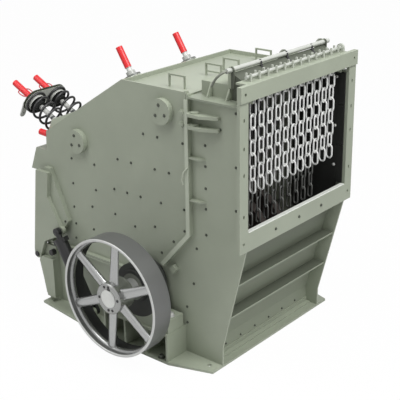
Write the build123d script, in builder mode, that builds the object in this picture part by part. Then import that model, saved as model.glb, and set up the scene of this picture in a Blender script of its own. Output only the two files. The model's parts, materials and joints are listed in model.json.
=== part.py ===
# Front-feed impact crusher: a fixed frame, a rotor with its belt pulley, and a
# rear housing that tilts back on a hinge, lifted by two hydraulic cylinders.
# Millimetres. X runs along the rotor (drive side at -X), the feed mouth faces -Y.
import os
from math import cos, hypot, radians, sin

from build123d import *

os.makedirs("parts", exist_ok=True)

# Frame plates
inner_width = 1440
wall_thickness = 16
plate_thickness = 16
base_length = 2146
base_thickness = 22
base_corner_reach = 135
base_flare_reach = 263
base_flare_length = 798
base_end_strip = 110
anchor_standoff = 67
anchor_end_inset = 93
seat_anchor_standoff = 224
seat_anchor_spacing = 580
anchor_hole_radius = 21

# Rotor line
shaft_y = -280
shaft_z = 631
shaft_radius = 80
blow_bar_tip_radius = 575
wall_bore_radius = 175
flange_clear_radius = 235

# Feed housing
kink_height = 189
feed_face_reach = 1328
feed_lip = 8
feed_frame_thickness = 28
feed_bottom_z = 1156
feed_bottom_height = 162
feed_clear_height = 1085
feed_top_height = 126
feed_top_proud = 14
feed_bar_width = 109
front_top_z = 2360

# Split between the fixed and the tilting housing
split_y = -750
split_corner_z = 1165
split_gap = 5
split_flange_reach = 40
split_flange_thickness = 16
split_flange_top = 22

# Tilting rear housing
rear_top_z = 2380
ridge_y = 0
slope_end_y = 1009
slope_end_z = 1741
rear_edge_lean = 22
rear_edge_z = 1376
rear_low_y = 1150

# Rear hinge
hinge_y = 1162
hinge_z = 487
hinge_pin_radius = 25
hinge_eye_radius = 44
hinge_plate = 40
hinge_side_gap = 5
rear_foot_z = 60
rear_foot_y = 1126
rear_bracket_front_y = 1004

# Fits
pin_clearance = 0.05
seat_gap = 0.3

wall_inner = inner_width / 2
wall_outer = wall_inner + wall_thickness
base_half = base_length / 2
shaft_point = (shaft_y, shaft_z)
hinge_point = (hinge_y, hinge_z)
feed_back_y = feed_frame_thickness - feed_face_reach
feed_open_z = feed_bottom_z + feed_bottom_height
feed_top_z = feed_open_z + feed_clear_height
feed_outer = wall_inner + feed_bar_width
sides = ((-1, "left"), (1, "right"))


def keep(builder, label):
    """Label a finished piece and write it."""
    builder.part.label = label
    export_step(builder.part, f"parts/{label}.step")


def along(start, end, share):
    """Point on the line from start to end."""
    return (start[0] + (end[0] - start[0]) * share, start[1] + (end[1] - start[1]) * share)


def polar(centre, radius, angle):
    """Point at a radius and an angle in degrees round a centre."""
    return (centre[0] + radius * cos(radians(angle)), centre[1] + radius * sin(radians(angle)))


def meet(start, end, low, high):
    """Point where the line through start and end crosses the line through low and high."""
    run = (end[0] - start[0], end[1] - start[1])
    cross = (high[0] - low[0], high[1] - low[1])
    step = (low[0] - start[0], low[1] - start[1])
    share = (step[0] * cross[1] - step[1] * cross[0]) / (run[0] * cross[1] - run[1] * cross[0])
    return along(start, end, share)


def left_normal(start, end, length):
    """Step of a given length to the left of the line from start to end."""
    run = hypot(end[0] - start[0], end[1] - start[1])
    return (-(end[1] - start[1]) / run * length, (end[0] - start[0]) / run * length)


def band(points, thickness):
    """Corners of a band to the left of the line through the points, mitred at each bend."""
    normals = [left_normal(start, end, thickness) for start, end in zip(points, points[1:])]
    edge = [(points[0][0] + normals[0][0], points[0][1] + normals[0][1])]
    for bend, before, after in zip(points[1:-1], normals, normals[1:]):
        spread = 1 + (before[0] * after[0] + before[1] * after[1]) / thickness ** 2
        edge.append((bend[0] + (before[0] + after[0]) / spread, bend[1] + (before[1] + after[1]) / spread))
    edge.append((points[-1][0] + normals[-1][0], points[-1][1] + normals[-1][1]))
    return [*points, *reversed(edge)]


def outline(points):
    """Closed face through the points, in the current sketch."""
    Polygon(*points, align=None)


# Base plate with its discharge opening and the wide seats beside the bearings
base_corner = wall_outer + base_corner_reach
base_flare = wall_outer + base_flare_reach
flare_front_y = shaft_y - base_flare_length / 2
flare_rear_y = shaft_y + base_flare_length / 2
with BuildPart() as base_plate:
    with BuildSketch():
        outline([
            (-base_corner, -base_half), (-base_flare, flare_front_y), (-base_flare, flare_rear_y),
            (-base_corner, base_half), (base_corner, base_half), (base_flare, flare_rear_y),
            (base_flare, flare_front_y), (base_corner, -base_half)])
        Rectangle(inner_width, base_length - 2 * base_end_strip, mode=Mode.SUBTRACT)
        with GridLocations(2 * (wall_outer + anchor_standoff), base_length - 2 * anchor_end_inset, 2, 2):
            Circle(anchor_hole_radius, mode=Mode.SUBTRACT)
        with Locations((0, shaft_y)):
            with GridLocations(2 * (wall_outer + seat_anchor_standoff), seat_anchor_spacing, 2, 2):
                Circle(anchor_hole_radius, mode=Mode.SUBTRACT)
    extrude(amount=base_thickness)
keep(base_plate, "base_plate")

# Fixed side walls: lower frame and feed housing in one plate, with stiffened split flanges
wall_top_z = front_top_z - plate_thickness
split_corner = (split_y, split_corner_z)
split_flange_end = (split_y, front_top_z + split_flange_top)
split_flange_face_y = split_y - split_flange_thickness
split_reach = hypot(shaft_y - split_y, split_corner_z - shaft_z)
split_inner_share = 1 - flange_clear_radius / split_reach
split_inner = along(split_corner, shaft_point, split_inner_share)
rear_split_start = (shaft_y + flange_clear_radius, shaft_z)
rear_split_end = (rear_bracket_front_y, shaft_z)
front_slope_y = feed_lip - feed_face_reach
flange_gusset_length = 150
flange_gusset_thickness = 14
flange_gusset_shares = (0.265, 0.577)
gusset_flat_share = 0.75
gusset_flat_y = split_flange_face_y - flange_gusset_length * gusset_flat_share
fixed_outline = [
    (-base_half, base_thickness), (-base_half, kink_height), (front_slope_y, feed_bottom_z),
    (feed_back_y, feed_bottom_z), (feed_back_y, wall_top_z), (split_y, wall_top_z), split_corner,
    shaft_point, rear_split_end, (rear_bracket_front_y, hinge_z),
    (rear_foot_y, hinge_z - 2 * hinge_eye_radius), (rear_foot_y, rear_foot_z), (base_half, base_thickness)]
for side, name in sides:
    with BuildPart() as fixed_wall:
        with BuildSketch(Plane.YZ.offset(side * wall_inner)):
            outline(fixed_outline)
            with Locations(shaft_point):
                Circle(wall_bore_radius, mode=Mode.SUBTRACT)
        extrude(amount=side * wall_thickness)
        with BuildSketch(Plane.YZ.offset(side * wall_outer)):
            outline(band([split_inner, split_corner, split_flange_end], split_flange_thickness))
            outline(band([rear_split_end, rear_split_start], split_flange_thickness))
        extrude(amount=side * split_flange_reach)
        for share in flange_gusset_shares:
            gusset_z = split_corner_z + (wall_top_z - split_corner_z) * share
            with BuildSketch(Plane.XY.offset(gusset_z)):
                outline([
                    (side * wall_outer, split_flange_face_y),
                    (side * (wall_outer + split_flange_reach), split_flange_face_y),
                    (side * (wall_outer + split_flange_reach), gusset_flat_y),
                    (side * wall_outer, split_flange_face_y - flange_gusset_length)])
            extrude(amount=flange_gusset_thickness)
    keep(fixed_wall, f"{name}_side_wall")

# Feed sill: sloping plate that leads the feed to the rotor
sill_thickness = 30
sill_reach = 550
sill_rise = 359
sill_end = (shaft_y - sill_reach, shaft_z + sill_rise)
sill_under_start = (feed_back_y, feed_open_z - sill_thickness)
sill_under_end = (sill_end[0], sill_end[1] - sill_thickness)
with BuildPart() as feed_sill:
    with BuildSketch(Plane.YZ.offset(-wall_inner)):
        outline([(feed_back_y, feed_open_z), sill_end, sill_under_end, sill_under_start])
    extrude(amount=inner_width)
keep(feed_sill, "feed_sill")

# Lower front wall: a panel set back between the side plates, with two shelf ribs
front_recess = 130
front_panel_thickness = 12
front_rib_thickness = 14
front_rib_setback = 8
front_rib_shares = (0.36, 0.70)
front_slope_top = (front_slope_y, feed_bottom_z)
front_slope_foot = (-base_half, kink_height)
panel_slope_top = (front_slope_y + front_recess, feed_bottom_z)
panel_kink = (front_recess - base_half, kink_height)
panel_top = meet(panel_kink, panel_slope_top, sill_under_start, sill_under_end)
panel_back_kink = (panel_kink[0] + front_panel_thickness, kink_height)
panel_back_slope_top = (panel_slope_top[0] + front_panel_thickness, feed_bottom_z)
panel_back_top = meet(panel_back_kink, panel_back_slope_top, sill_under_start, sill_under_end)
with BuildPart() as front_wall:
    with BuildSketch(Plane.YZ.offset(-wall_inner)):
        outline([
            (panel_kink[0], base_thickness), panel_kink, panel_top, panel_back_top, panel_back_kink,
            (panel_back_kink[0], base_thickness)])
        for share in front_rib_shares:
            outer = along(front_slope_top, front_slope_foot, share)
            inner = along(panel_slope_top, panel_kink, share)
            outline([
                (outer[0] + front_rib_setback, outer[1]), inner,
                (inner[0], inner[1] + front_rib_thickness),
                (outer[0] + front_rib_setback, outer[1] + front_rib_thickness)])
    extrude(amount=inner_width)
keep(front_wall, "front_wall")

# Lower rear wall
rear_panel_y = base_half - base_end_strip
with BuildPart() as rear_lower_wall:
    with BuildSketch(Plane.YZ.offset(-wall_inner)):
        outline([
            (rear_panel_y, base_thickness), (rear_panel_y + plate_thickness, base_thickness),
            (rear_panel_y + plate_thickness, shaft_z), (rear_panel_y, shaft_z)])
    extrude(amount=inner_width)
keep(rear_lower_wall, "rear_lower_wall")

# Feed frame: four flange bars round the mouth, slotted side bars, round corner bolt holes
feed_bolt_radius = 13
slot_width = 18
slot_length = 34
side_slot_shares = (0.14, 0.46, 0.66, 0.87)
feed_bolt_spacing = 2 * wall_inner + feed_bar_width
for side, name in sides:
    bar_middle = side * (wall_inner + feed_bar_width / 2)
    with BuildPart() as feed_side:
        with BuildSketch(Plane.XZ.offset(-feed_back_y)):
            with Locations((bar_middle, feed_open_z + feed_clear_height / 2)):
                Rectangle(feed_bar_width, feed_clear_height)
            slot_levels = [feed_open_z + feed_clear_height * share for share in side_slot_shares]
            with Locations(*[(bar_middle, level) for level in slot_levels]):
                SlotOverall(slot_length, slot_width, rotation=90, mode=Mode.SUBTRACT)
        extrude(amount=feed_frame_thickness)
    keep(feed_side, f"feed_frame_{name}")

for label, low_z, height, proud in (
        ("feed_frame_top", feed_top_z, feed_top_height, feed_top_proud),
        ("feed_frame_bottom", feed_bottom_z, feed_bottom_height, 0)):
    with BuildPart() as feed_bar:
        with BuildSketch(Plane.XZ.offset(-feed_back_y)):
            with Locations((0, low_z + height / 2)):
                Rectangle(2 * feed_outer, height)
                with GridLocations(feed_bolt_spacing, height, 2, 1):
                    Circle(feed_bolt_radius, mode=Mode.SUBTRACT)
        extrude(amount=feed_frame_thickness + proud)
    keep(feed_bar, label)

# Wear liners on the inside of the feed housing
liner_thickness = 12
liner_setback = 65
liner_front_y = feed_back_y + liner_setback
liner_share = liner_setback / (sill_end[0] - feed_back_y)
for side, name in sides:
    with BuildPart() as feed_liner:
        with BuildSketch(Plane.YZ.offset(side * wall_inner)):
            outline([
                along((feed_back_y, feed_open_z), sill_end, liner_share), sill_end,
                (split_flange_face_y, sill_end[1]), (split_flange_face_y, wall_top_z),
                (liner_front_y, wall_top_z)])
        extrude(amount=-side * liner_thickness)
    keep(feed_liner, f"{name}_feed_liner")

# Top plate of the feed housing, cut away over the front chain curtain and slotted for the rear one
chain_columns = 11
chain_side_margin = 157.5
comb_depth = 100
rear_chain_setback = 240
chain_slot_width = 84
chain_y = feed_back_y + comb_depth / 2
rear_chain_y = feed_back_y + rear_chain_setback
chain_spacing = (inner_width - 2 * chain_side_margin) / (chain_columns - 1)
top_plate_length = split_flange_face_y - feed_back_y
with BuildPart() as front_top_plate:
    with BuildSketch(Plane.XY.offset(wall_top_z)):
        with Locations((0, feed_back_y + top_plate_length / 2)):
            Rectangle(2 * (wall_outer + split_flange_reach), top_plate_length)
        with Locations((0, chain_y)):
            Rectangle(inner_width, comb_depth, mode=Mode.SUBTRACT)
        with Locations((0, rear_chain_y)):
            Rectangle(chain_columns * chain_spacing, chain_slot_width, mode=Mode.SUBTRACT)
    extrude(amount=plate_thickness)
keep(front_top_plate, "front_top_plate")

# Chain hanger: cover plate behind the top bar, with notched keepers and a round ear for the rod
chain_rod_radius = 14
chain_rod_rise = 31
comb_side_gap = 5
keeper_thickness = 14
keeper_depth = 56
keeper_height = 61
ear_radius = 36
ear_thickness = 20
ear_inset = 20
keeper_rod_overhang = 31
comb_top_z = feed_top_z + feed_top_height
comb_low_z = comb_top_z - plate_thickness
comb_back_y = feed_back_y + comb_depth
chain_rod_z = comb_top_z + chain_rod_rise
keeper_rod_end = wall_inner - ear_inset
keeper_rod_start = -chain_spacing * chain_columns / 2 - keeper_rod_overhang
chain_rod_bore = chain_rod_radius + pin_clearance
with BuildPart() as chain_hanger:
    with BuildSketch(Plane.XY.offset(comb_low_z)):
        with Locations((0, feed_back_y + comb_depth / 2)):
            Rectangle(inner_width - 2 * comb_side_gap, comb_depth)
    extrude(amount=plate_thickness)
    with BuildSketch(Plane.XY.offset(comb_top_z)):
        with Locations((0, chain_y)):
            with GridLocations(chain_spacing, keeper_depth, chain_columns + 1, 1):
                Rectangle(keeper_thickness, keeper_depth)
    extrude(amount=keeper_height)
    with BuildSketch(Plane.XY.offset(chain_rod_z - chain_rod_bore)):
        with Locations((0, chain_y)):
            Rectangle(inner_width, 2 * chain_rod_bore)
    extrude(amount=keeper_height, mode=Mode.SUBTRACT)
    with BuildSketch(Plane.YZ.offset(keeper_rod_end - ear_thickness)):
        with Locations((chain_y, chain_rod_z)):
            Circle(ear_radius)
        with Locations((chain_y, comb_top_z)):
            Rectangle(2 * ear_radius, chain_rod_rise, align=(Align.CENTER, Align.MIN))
            Rectangle(2 * ear_radius, 2 * ear_radius, align=(Align.CENTER, Align.MAX), mode=Mode.SUBTRACT)
        with Locations((chain_y, chain_rod_z)):
            Circle(chain_rod_bore, mode=Mode.SUBTRACT)
    extrude(amount=ear_thickness)
keep(chain_hanger, "chain_hanger")

# Chain box: covered housing of the rear curtain, with a raised lid, side gussets and a lift rod
box_inset = 80
box_plate = 12
box_depth = 500
box_top_rise = 115
lid_setback = 195
lid_rise = 46
lid_step = 20
box_gusset_reach = 60
box_gusset_thickness = 14
box_gusset_setbacks = (205, 395)
lid_rod_radius = 20
lid_rod_rise = 71
lid_rod_overhang = 70
lid_bracket_width = 56
lid_bracket_thickness = 14
lid_bracket_drop = 20
curtain_rod_rise = 27
rear_rod_rise = 65
box_half = wall_inner - box_inset
box_back_y = feed_back_y + box_depth
box_top_z = front_top_z + box_top_rise
lid_bracket_z = box_top_z - lid_bracket_drop
lid_y = feed_back_y + lid_setback
lid_point = (lid_y, comb_top_z + lid_rise)
lid_rod_point = (lid_y, comb_top_z + lid_rod_rise)
curtain_rod_z = front_top_z + curtain_rod_rise
rear_rod_z = front_top_z + rear_rod_rise
box_path = [
    (box_back_y, front_top_z), (box_back_y, box_top_z), (lid_y + lid_step, box_top_z), lid_point,
    (comb_back_y, comb_top_z)]
with BuildPart() as chain_box:
    with BuildSketch(Plane.YZ.offset(-box_half)):
        outline(band(box_path, box_plate))
    extrude(amount=2 * box_half)
    for side, _ in sides:
        with BuildSketch(Plane.YZ.offset(side * box_half)):
            outline([
                *box_path, (comb_back_y, comb_low_z), (feed_back_y, comb_low_z), (feed_back_y, front_top_z)])
        extrude(amount=-side * box_plate)
        with BuildSketch(Plane.YZ.offset(side * box_half)):
            with Locations(lid_rod_point):
                Circle(lid_bracket_width / 2)
            with Locations((lid_y, (lid_bracket_z + lid_rod_point[1]) / 2)):
                Rectangle(lid_bracket_width, lid_rod_point[1] - lid_bracket_z)
            with Locations(lid_rod_point):
                Circle(lid_rod_radius + pin_clearance, mode=Mode.SUBTRACT)
        extrude(amount=side * lid_bracket_thickness)
        for setback in box_gusset_setbacks:
            with BuildSketch(Plane.XZ.offset(-feed_back_y - setback)):
                outline([
                    (side * box_half, front_top_z), (side * (box_half + box_gusset_reach), front_top_z),
                    (side * box_half, box_top_z)])
            extrude(amount=-box_gusset_thickness)
keep(chain_box, "chain_box")

# Rods: one through the keepers, one for each chain curtain, one over the lid
curtain_rod_end = box_half - box_plate
lid_rod_end = box_half + lid_rod_overhang
with BuildPart() as chain_rod:
    for radius, start_x, end_x, point in (
            (chain_rod_radius, keeper_rod_start, keeper_rod_end, (chain_y, chain_rod_z)),
            (chain_rod_radius, -curtain_rod_end, curtain_rod_end, (chain_y, curtain_rod_z)),
            (chain_rod_radius, -curtain_rod_end, curtain_rod_end, (rear_chain_y, rear_rod_z)),
            (lid_rod_radius, -lid_rod_end, lid_rod_end, lid_rod_point)):
        with BuildSketch(Plane.YZ.offset(start_x)):
            with Locations(point):
                Circle(radius)
        extrude(amount=end_x - start_x)
keep(chain_rod, "chain_rod")

# Chain curtains: every column alternates links edge on to the feed with links that face it
link_bar = 15
link_length = 144
link_width = 60
link_corner = 15
front_link_count = 7
rear_link_count = 11
link_drop = link_length - 2 * link_bar - seat_gap
link_side = link_width / 2
link_end = link_length / 2


def chain_link(plane):
    """One chain link at the origin, flat in the given plane, with its corners cut."""
    with BuildPart() as link:
        with BuildSketch(plane):
            outline([
                (-link_side, link_corner - link_end), (link_corner - link_side, -link_end),
                (link_side - link_corner, -link_end), (link_side, link_corner - link_end),
                (link_side, link_end - link_corner), (link_side - link_corner, link_end),
                (link_corner - link_side, link_end), (-link_side, link_end - link_corner)])
            Rectangle(link_width - 2 * link_bar, link_length - 2 * link_bar, mode=Mode.SUBTRACT)
        extrude(amount=link_bar / 2, both=True)
    return link.part


hang_offset = chain_rod_radius + seat_gap + link_bar - link_length / 2
column_places = [(number - (chain_columns - 1) / 2) * chain_spacing for number in range(chain_columns)]
with BuildPart() as chain_curtain:
    for curtain_y, rod_z, count in (
            (chain_y, curtain_rod_z, front_link_count), (rear_chain_y, rear_rod_z, rear_link_count)):
        for first, plane in ((0, Plane.YZ), (1, Plane.XZ)):
            levels = [rod_z + hang_offset - number * link_drop for number in range(first, count, 2)]
            with Locations(*[(x, curtain_y, z) for x in column_places for z in levels]):
                add(chain_link(plane))
keep(chain_curtain, "chain_curtain")

# Bearing pedestals outside the walls
bearing_seat_z = 285
pedestal_plate = 22
pedestal_gusset = 20
pedestal_length = 770
pedestal_reach = 254
pedestal_gusset_count = 4
gusset_height = bearing_seat_z - pedestal_plate - base_thickness
for side, name in sides:
    with BuildPart() as pedestal:
        with BuildSketch(Plane.YZ.offset(side * wall_outer)):
            with Locations((shaft_y, bearing_seat_z - pedestal_plate / 2)):
                Rectangle(pedestal_length, pedestal_plate)
            with Locations((shaft_y, base_thickness + gusset_height / 2)):
                gusset_spacing = (pedestal_length - pedestal_gusset) / (pedestal_gusset_count - 1)
                with GridLocations(gusset_spacing, gusset_height, pedestal_gusset_count, 1):
                    Rectangle(pedestal_gusset, gusset_height)
        extrude(amount=side * pedestal_reach)
    keep(pedestal, f"{name}_pedestal")

# Pillow blocks with round end covers
bearing_radius = 205
bearing_width = 200
bearing_foot_length = 760
bearing_foot_height = 120
bearing_shoulder_length = 520
bearing_standoff = 132
cover_radius = 150
cover_depth = 22
bearing_x = wall_outer + bearing_standoff
for side, name in sides:
    with BuildPart() as bearing:
        with BuildSketch(Plane.YZ.offset(side * (bearing_x - bearing_width / 2))):
            with Locations(shaft_point):
                Circle(bearing_radius)
            outline([
                (shaft_y - bearing_shoulder_length / 2, bearing_seat_z), (shaft_y - bearing_radius, shaft_z),
                (shaft_y + bearing_radius, shaft_z), (shaft_y + bearing_shoulder_length / 2, bearing_seat_z)])
            with Locations((shaft_y, bearing_seat_z + bearing_foot_height / 2)):
                Rectangle(bearing_foot_length, bearing_foot_height)
        extrude(amount=side * bearing_width)
        with BuildSketch(Plane.YZ.offset(side * bearing_x)):
            with Locations(shaft_point):
                Circle(cover_radius)
        extrude(amount=bearing_width / 2 + cover_depth, both=True)
        with BuildSketch(Plane.YZ.offset(side * bearing_x)):
            with Locations(shaft_point):
                Circle(shaft_radius + pin_clearance)
        extrude(amount=bearing_width, both=True, mode=Mode.SUBTRACT)
    keep(bearing, f"{name}_bearing")

# Rotor shaft, and the rotor: discs on a tube that carry four blow bars
pulley_standoff = 558
shaft_end_reach = 264
rotor_side_gap = 20
disc_radius = 470
disc_thickness = 90
disc_count = 6
rotor_tube_radius = 200
blow_bar_width = 90
blow_bar_root_radius = 340
blow_bar_count = 4
pulley_face_x = wall_outer + pulley_standoff
rotor_length = inner_width - 2 * rotor_side_gap
disc_pitch = (rotor_length - disc_thickness) / (disc_count - 1)
with BuildPart() as rotor_shaft:
    with BuildSketch(Plane.YZ.offset(-pulley_face_x)):
        with Locations(shaft_point):
            Circle(shaft_radius)
    extrude(amount=pulley_face_x + wall_outer + shaft_end_reach)
keep(rotor_shaft, "rotor_shaft")

blow_bar_height = blow_bar_tip_radius - blow_bar_root_radius
with BuildPart() as rotor_drum:
    with BuildSketch(Plane.YZ.offset(-rotor_length / 2)):
        with Locations(shaft_point):
            Circle(rotor_tube_radius)
            with PolarLocations(blow_bar_root_radius + blow_bar_height / 2, blow_bar_count):
                Rectangle(blow_bar_height, blow_bar_width)
    extrude(amount=rotor_length)
    for number in range(disc_count):
        with BuildSketch(Plane.YZ.offset(number * disc_pitch - rotor_length / 2)):
            with Locations(shaft_point):
                Circle(disc_radius)
        extrude(amount=disc_thickness)
    with BuildSketch(Plane.YZ):
        with Locations(shaft_point):
            Circle(shaft_radius)
    extrude(amount=rotor_length, both=True, mode=Mode.SUBTRACT)
keep(rotor_drum, "rotor_drum")

# Belt pulley: flat rim with an inner bead, oval spokes and a plain hub
pulley_radius = 533
pulley_width = 205
pulley_rim = 24
bead_height = 22
bead_width = 60
hub_radius = 140
hub_length = 190
spoke_count = 6
spoke_turn = 95.5
spoke_width = 92
spoke_depth = 52
spoke_setback = 70
rim_inner = pulley_radius - pulley_rim
bead_inner = rim_inner - bead_height
spoke_root = (hub_radius + shaft_radius) / 2
with BuildPart() as pulley:
    for outer, inner, setback, width in (
            (pulley_radius, rim_inner, 0, pulley_width),
            (rim_inner, bead_inner, spoke_setback - bead_width / 2, bead_width),
            (hub_radius, shaft_radius, 0, hub_length)):
        with BuildSketch(Plane.YZ.offset(setback - pulley_face_x)):
            with Locations(shaft_point):
                Circle(outer)
                Circle(inner, mode=Mode.SUBTRACT)
        extrude(amount=width)
    for number in range(spoke_count):
        turn = 360 / spoke_count * number + spoke_turn
        root = polar(shaft_point, spoke_root, turn)
        spoke_plane = Plane(
            (spoke_setback - pulley_face_x, *root), x_dir=(1, 0, 0),
            z_dir=(0, cos(radians(turn)), sin(radians(turn))))
        with BuildSketch(spoke_plane):
            Ellipse(spoke_depth / 2, spoke_width / 2)
        extrude(amount=bead_inner + bead_height / 2 - spoke_root)
keep(pulley, "pulley")

# Tilting rear housing: side walls with their split flanges and clamp lugs
clamp_drop = 204
clamp_gap = 100
clamp_plate = 26
clamp_reach = 90
clamp_length = 300
clamp_nose = 60
clamp_disc_radius = 34
clamp_disc_height = 12
lug_reach = 64
lug_length = 70
apron_shaft_radius = 55
front_apron_setback = 283
front_apron_drop = 193
rear_apron_setback = 440
rear_apron_drop = 10
clamp_z = rear_top_z - clamp_drop
clamp_levels = (clamp_z - clamp_gap / 2, clamp_z + clamp_gap / 2)
front_apron_point = (split_y + front_apron_setback, rear_top_z - front_apron_drop)
rear_apron_point = (slope_end_y - rear_apron_setback, slope_end_z - rear_apron_drop)
tilt_split_y = split_y + split_gap
tilt_low_z = shaft_z + split_gap
tilt_flange_face_y = tilt_split_y + split_flange_thickness
tilt_corner = (tilt_split_y, split_corner_z + split_gap)
tilt_shaft = (shaft_y + split_gap, tilt_low_z)
tilt_inner = along(tilt_corner, tilt_shaft, split_inner_share)
tilt_flange_end = (tilt_split_y, rear_top_z + split_flange_top)
tilt_rear_start = (shaft_y + flange_clear_radius, tilt_low_z)
tilt_rear_end = (rear_bracket_front_y, tilt_low_z)
rear_edge_low = (slope_end_y + rear_edge_lean, rear_edge_z)
tilt_outline = [
    tilt_corner, (tilt_split_y, rear_top_z), (ridge_y, rear_top_z), (slope_end_y, slope_end_z),
    rear_edge_low, (rear_low_y, tilt_low_z), tilt_shaft]
for side, name in sides:
    with BuildPart() as rear_side:
        with BuildSketch(Plane.YZ.offset(side * wall_inner)):
            outline(tilt_outline)
            with Locations(shaft_point):
                Circle(wall_bore_radius, mode=Mode.SUBTRACT)
            with Locations(front_apron_point, rear_apron_point):
                Circle(apron_shaft_radius + pin_clearance, mode=Mode.SUBTRACT)
        extrude(amount=side * wall_thickness)
        with BuildSketch(Plane.YZ.offset(side * wall_outer)):
            outline(band([tilt_flange_end, tilt_corner, tilt_inner], split_flange_thickness))
            outline(band([tilt_rear_start, tilt_rear_end], split_flange_thickness))
        extrude(amount=side * split_flange_reach)
        for level in clamp_levels:
            with BuildSketch(Plane.XY.offset(level - clamp_plate / 2)):
                outline([
                    (side * wall_outer, tilt_flange_face_y),
                    (side * (wall_outer + lug_reach), tilt_flange_face_y),
                    (side * (wall_outer + lug_reach), tilt_flange_face_y + lug_length / 2),
                    (side * wall_outer, tilt_flange_face_y + lug_length)])
            extrude(amount=clamp_plate)
    keep(rear_side, f"{name}_rear_wall")

# Clamp lugs that lock the split, two plates with a round pad on each side of the fixed frame
clamp_disc_y = split_flange_face_y - clamp_length / 4
for side, name in sides:
    with BuildPart() as clamp:
        for level in clamp_levels:
            with BuildSketch(Plane.XY.offset(level - clamp_plate / 2)):
                outline([
                    (side * wall_outer, split_flange_face_y),
                    (side * (wall_outer + clamp_reach - clamp_nose / 2), split_flange_face_y),
                    (side * (wall_outer + clamp_reach), split_flange_face_y - clamp_nose / 2),
                    (side * (wall_outer + clamp_reach), split_flange_face_y - clamp_length / 2),
                    (side * (wall_outer + clamp_reach - clamp_nose), split_flange_face_y - clamp_length),
                    (side * wall_outer, split_flange_face_y - clamp_length)])
            extrude(amount=clamp_plate)
            with BuildSketch(Plane.XY.offset(level + clamp_plate / 2)):
                with Locations((side * (wall_outer + clamp_reach / 2), clamp_disc_y)):
                    Circle(clamp_disc_radius)
            extrude(amount=clamp_disc_height)
    keep(clamp, f"{name}_clamp")

# Roof, rear slope and rear wall between the tilting side walls
roof_drop = 36
roof_z = rear_top_z - roof_drop
slope_start = (ridge_y, rear_top_z)
slope_end = (slope_end_y, slope_end_z)
with BuildPart() as rear_roof:
    with BuildSketch(Plane.YZ.offset(-wall_inner)):
        outline([
            (tilt_split_y, roof_z), (ridge_y - plate_thickness, roof_z),
            (ridge_y - plate_thickness, roof_z - plate_thickness), (tilt_split_y, roof_z - plate_thickness)])
    extrude(amount=inner_width)
keep(rear_roof, "rear_roof")

with BuildPart() as rear_slope:
    with BuildSketch(Plane.YZ.offset(-wall_inner)):
        outline([
            (ridge_y - plate_thickness, rear_top_z), slope_start, slope_end,
            (slope_end_y - plate_thickness, slope_end_z - plate_thickness),
            (ridge_y - plate_thickness, roof_z - 2 * plate_thickness)])
    extrude(amount=inner_width)
keep(rear_slope, "rear_slope")

rear_wall_top = (slope_end_y - plate_thickness, slope_end_z - plate_thickness - seat_gap)
rear_wall_low = (rear_low_y - plate_thickness, shaft_z + 2 * split_gap)
rear_wall_mid = (rear_edge_low[0] - plate_thickness, rear_edge_z)
with BuildPart() as rear_wall:
    with BuildSketch(Plane.YZ.offset(-wall_inner)):
        outline([
            rear_wall_top, (slope_end_y, rear_wall_top[1]), rear_edge_low,
            (rear_low_y, rear_wall_low[1]), rear_wall_low, rear_wall_mid])
    extrude(amount=inner_width)
keep(rear_wall, "rear_wall")

hood_top_drop = 188
hood_bottom_drop = 46
hood_top_depth = 145
hood_bottom_depth = 215
hood_top_z = slope_end_z - hood_top_drop
hood_bottom_z = rear_edge_z - hood_bottom_drop
hood_share = hood_top_drop / (slope_end_z - rear_edge_z)
hood_back_top = along(slope_end, rear_edge_low, hood_share)
hood_low_share = hood_bottom_drop / (rear_edge_z - rear_wall_low[1])
hood_back_low = along(rear_edge_low, (rear_low_y, rear_wall_low[1]), hood_low_share)
with BuildPart() as rear_hood:
    with BuildSketch(Plane.YZ.offset(-wall_outer)):
        outline([
            hood_back_top, (hood_back_top[0] + hood_top_depth, hood_top_z),
            (hood_back_low[0] + hood_bottom_depth, hood_bottom_z), hood_back_low, rear_edge_low])
    extrude(amount=2 * wall_outer)
keep(rear_hood, "rear_hood")

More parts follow.
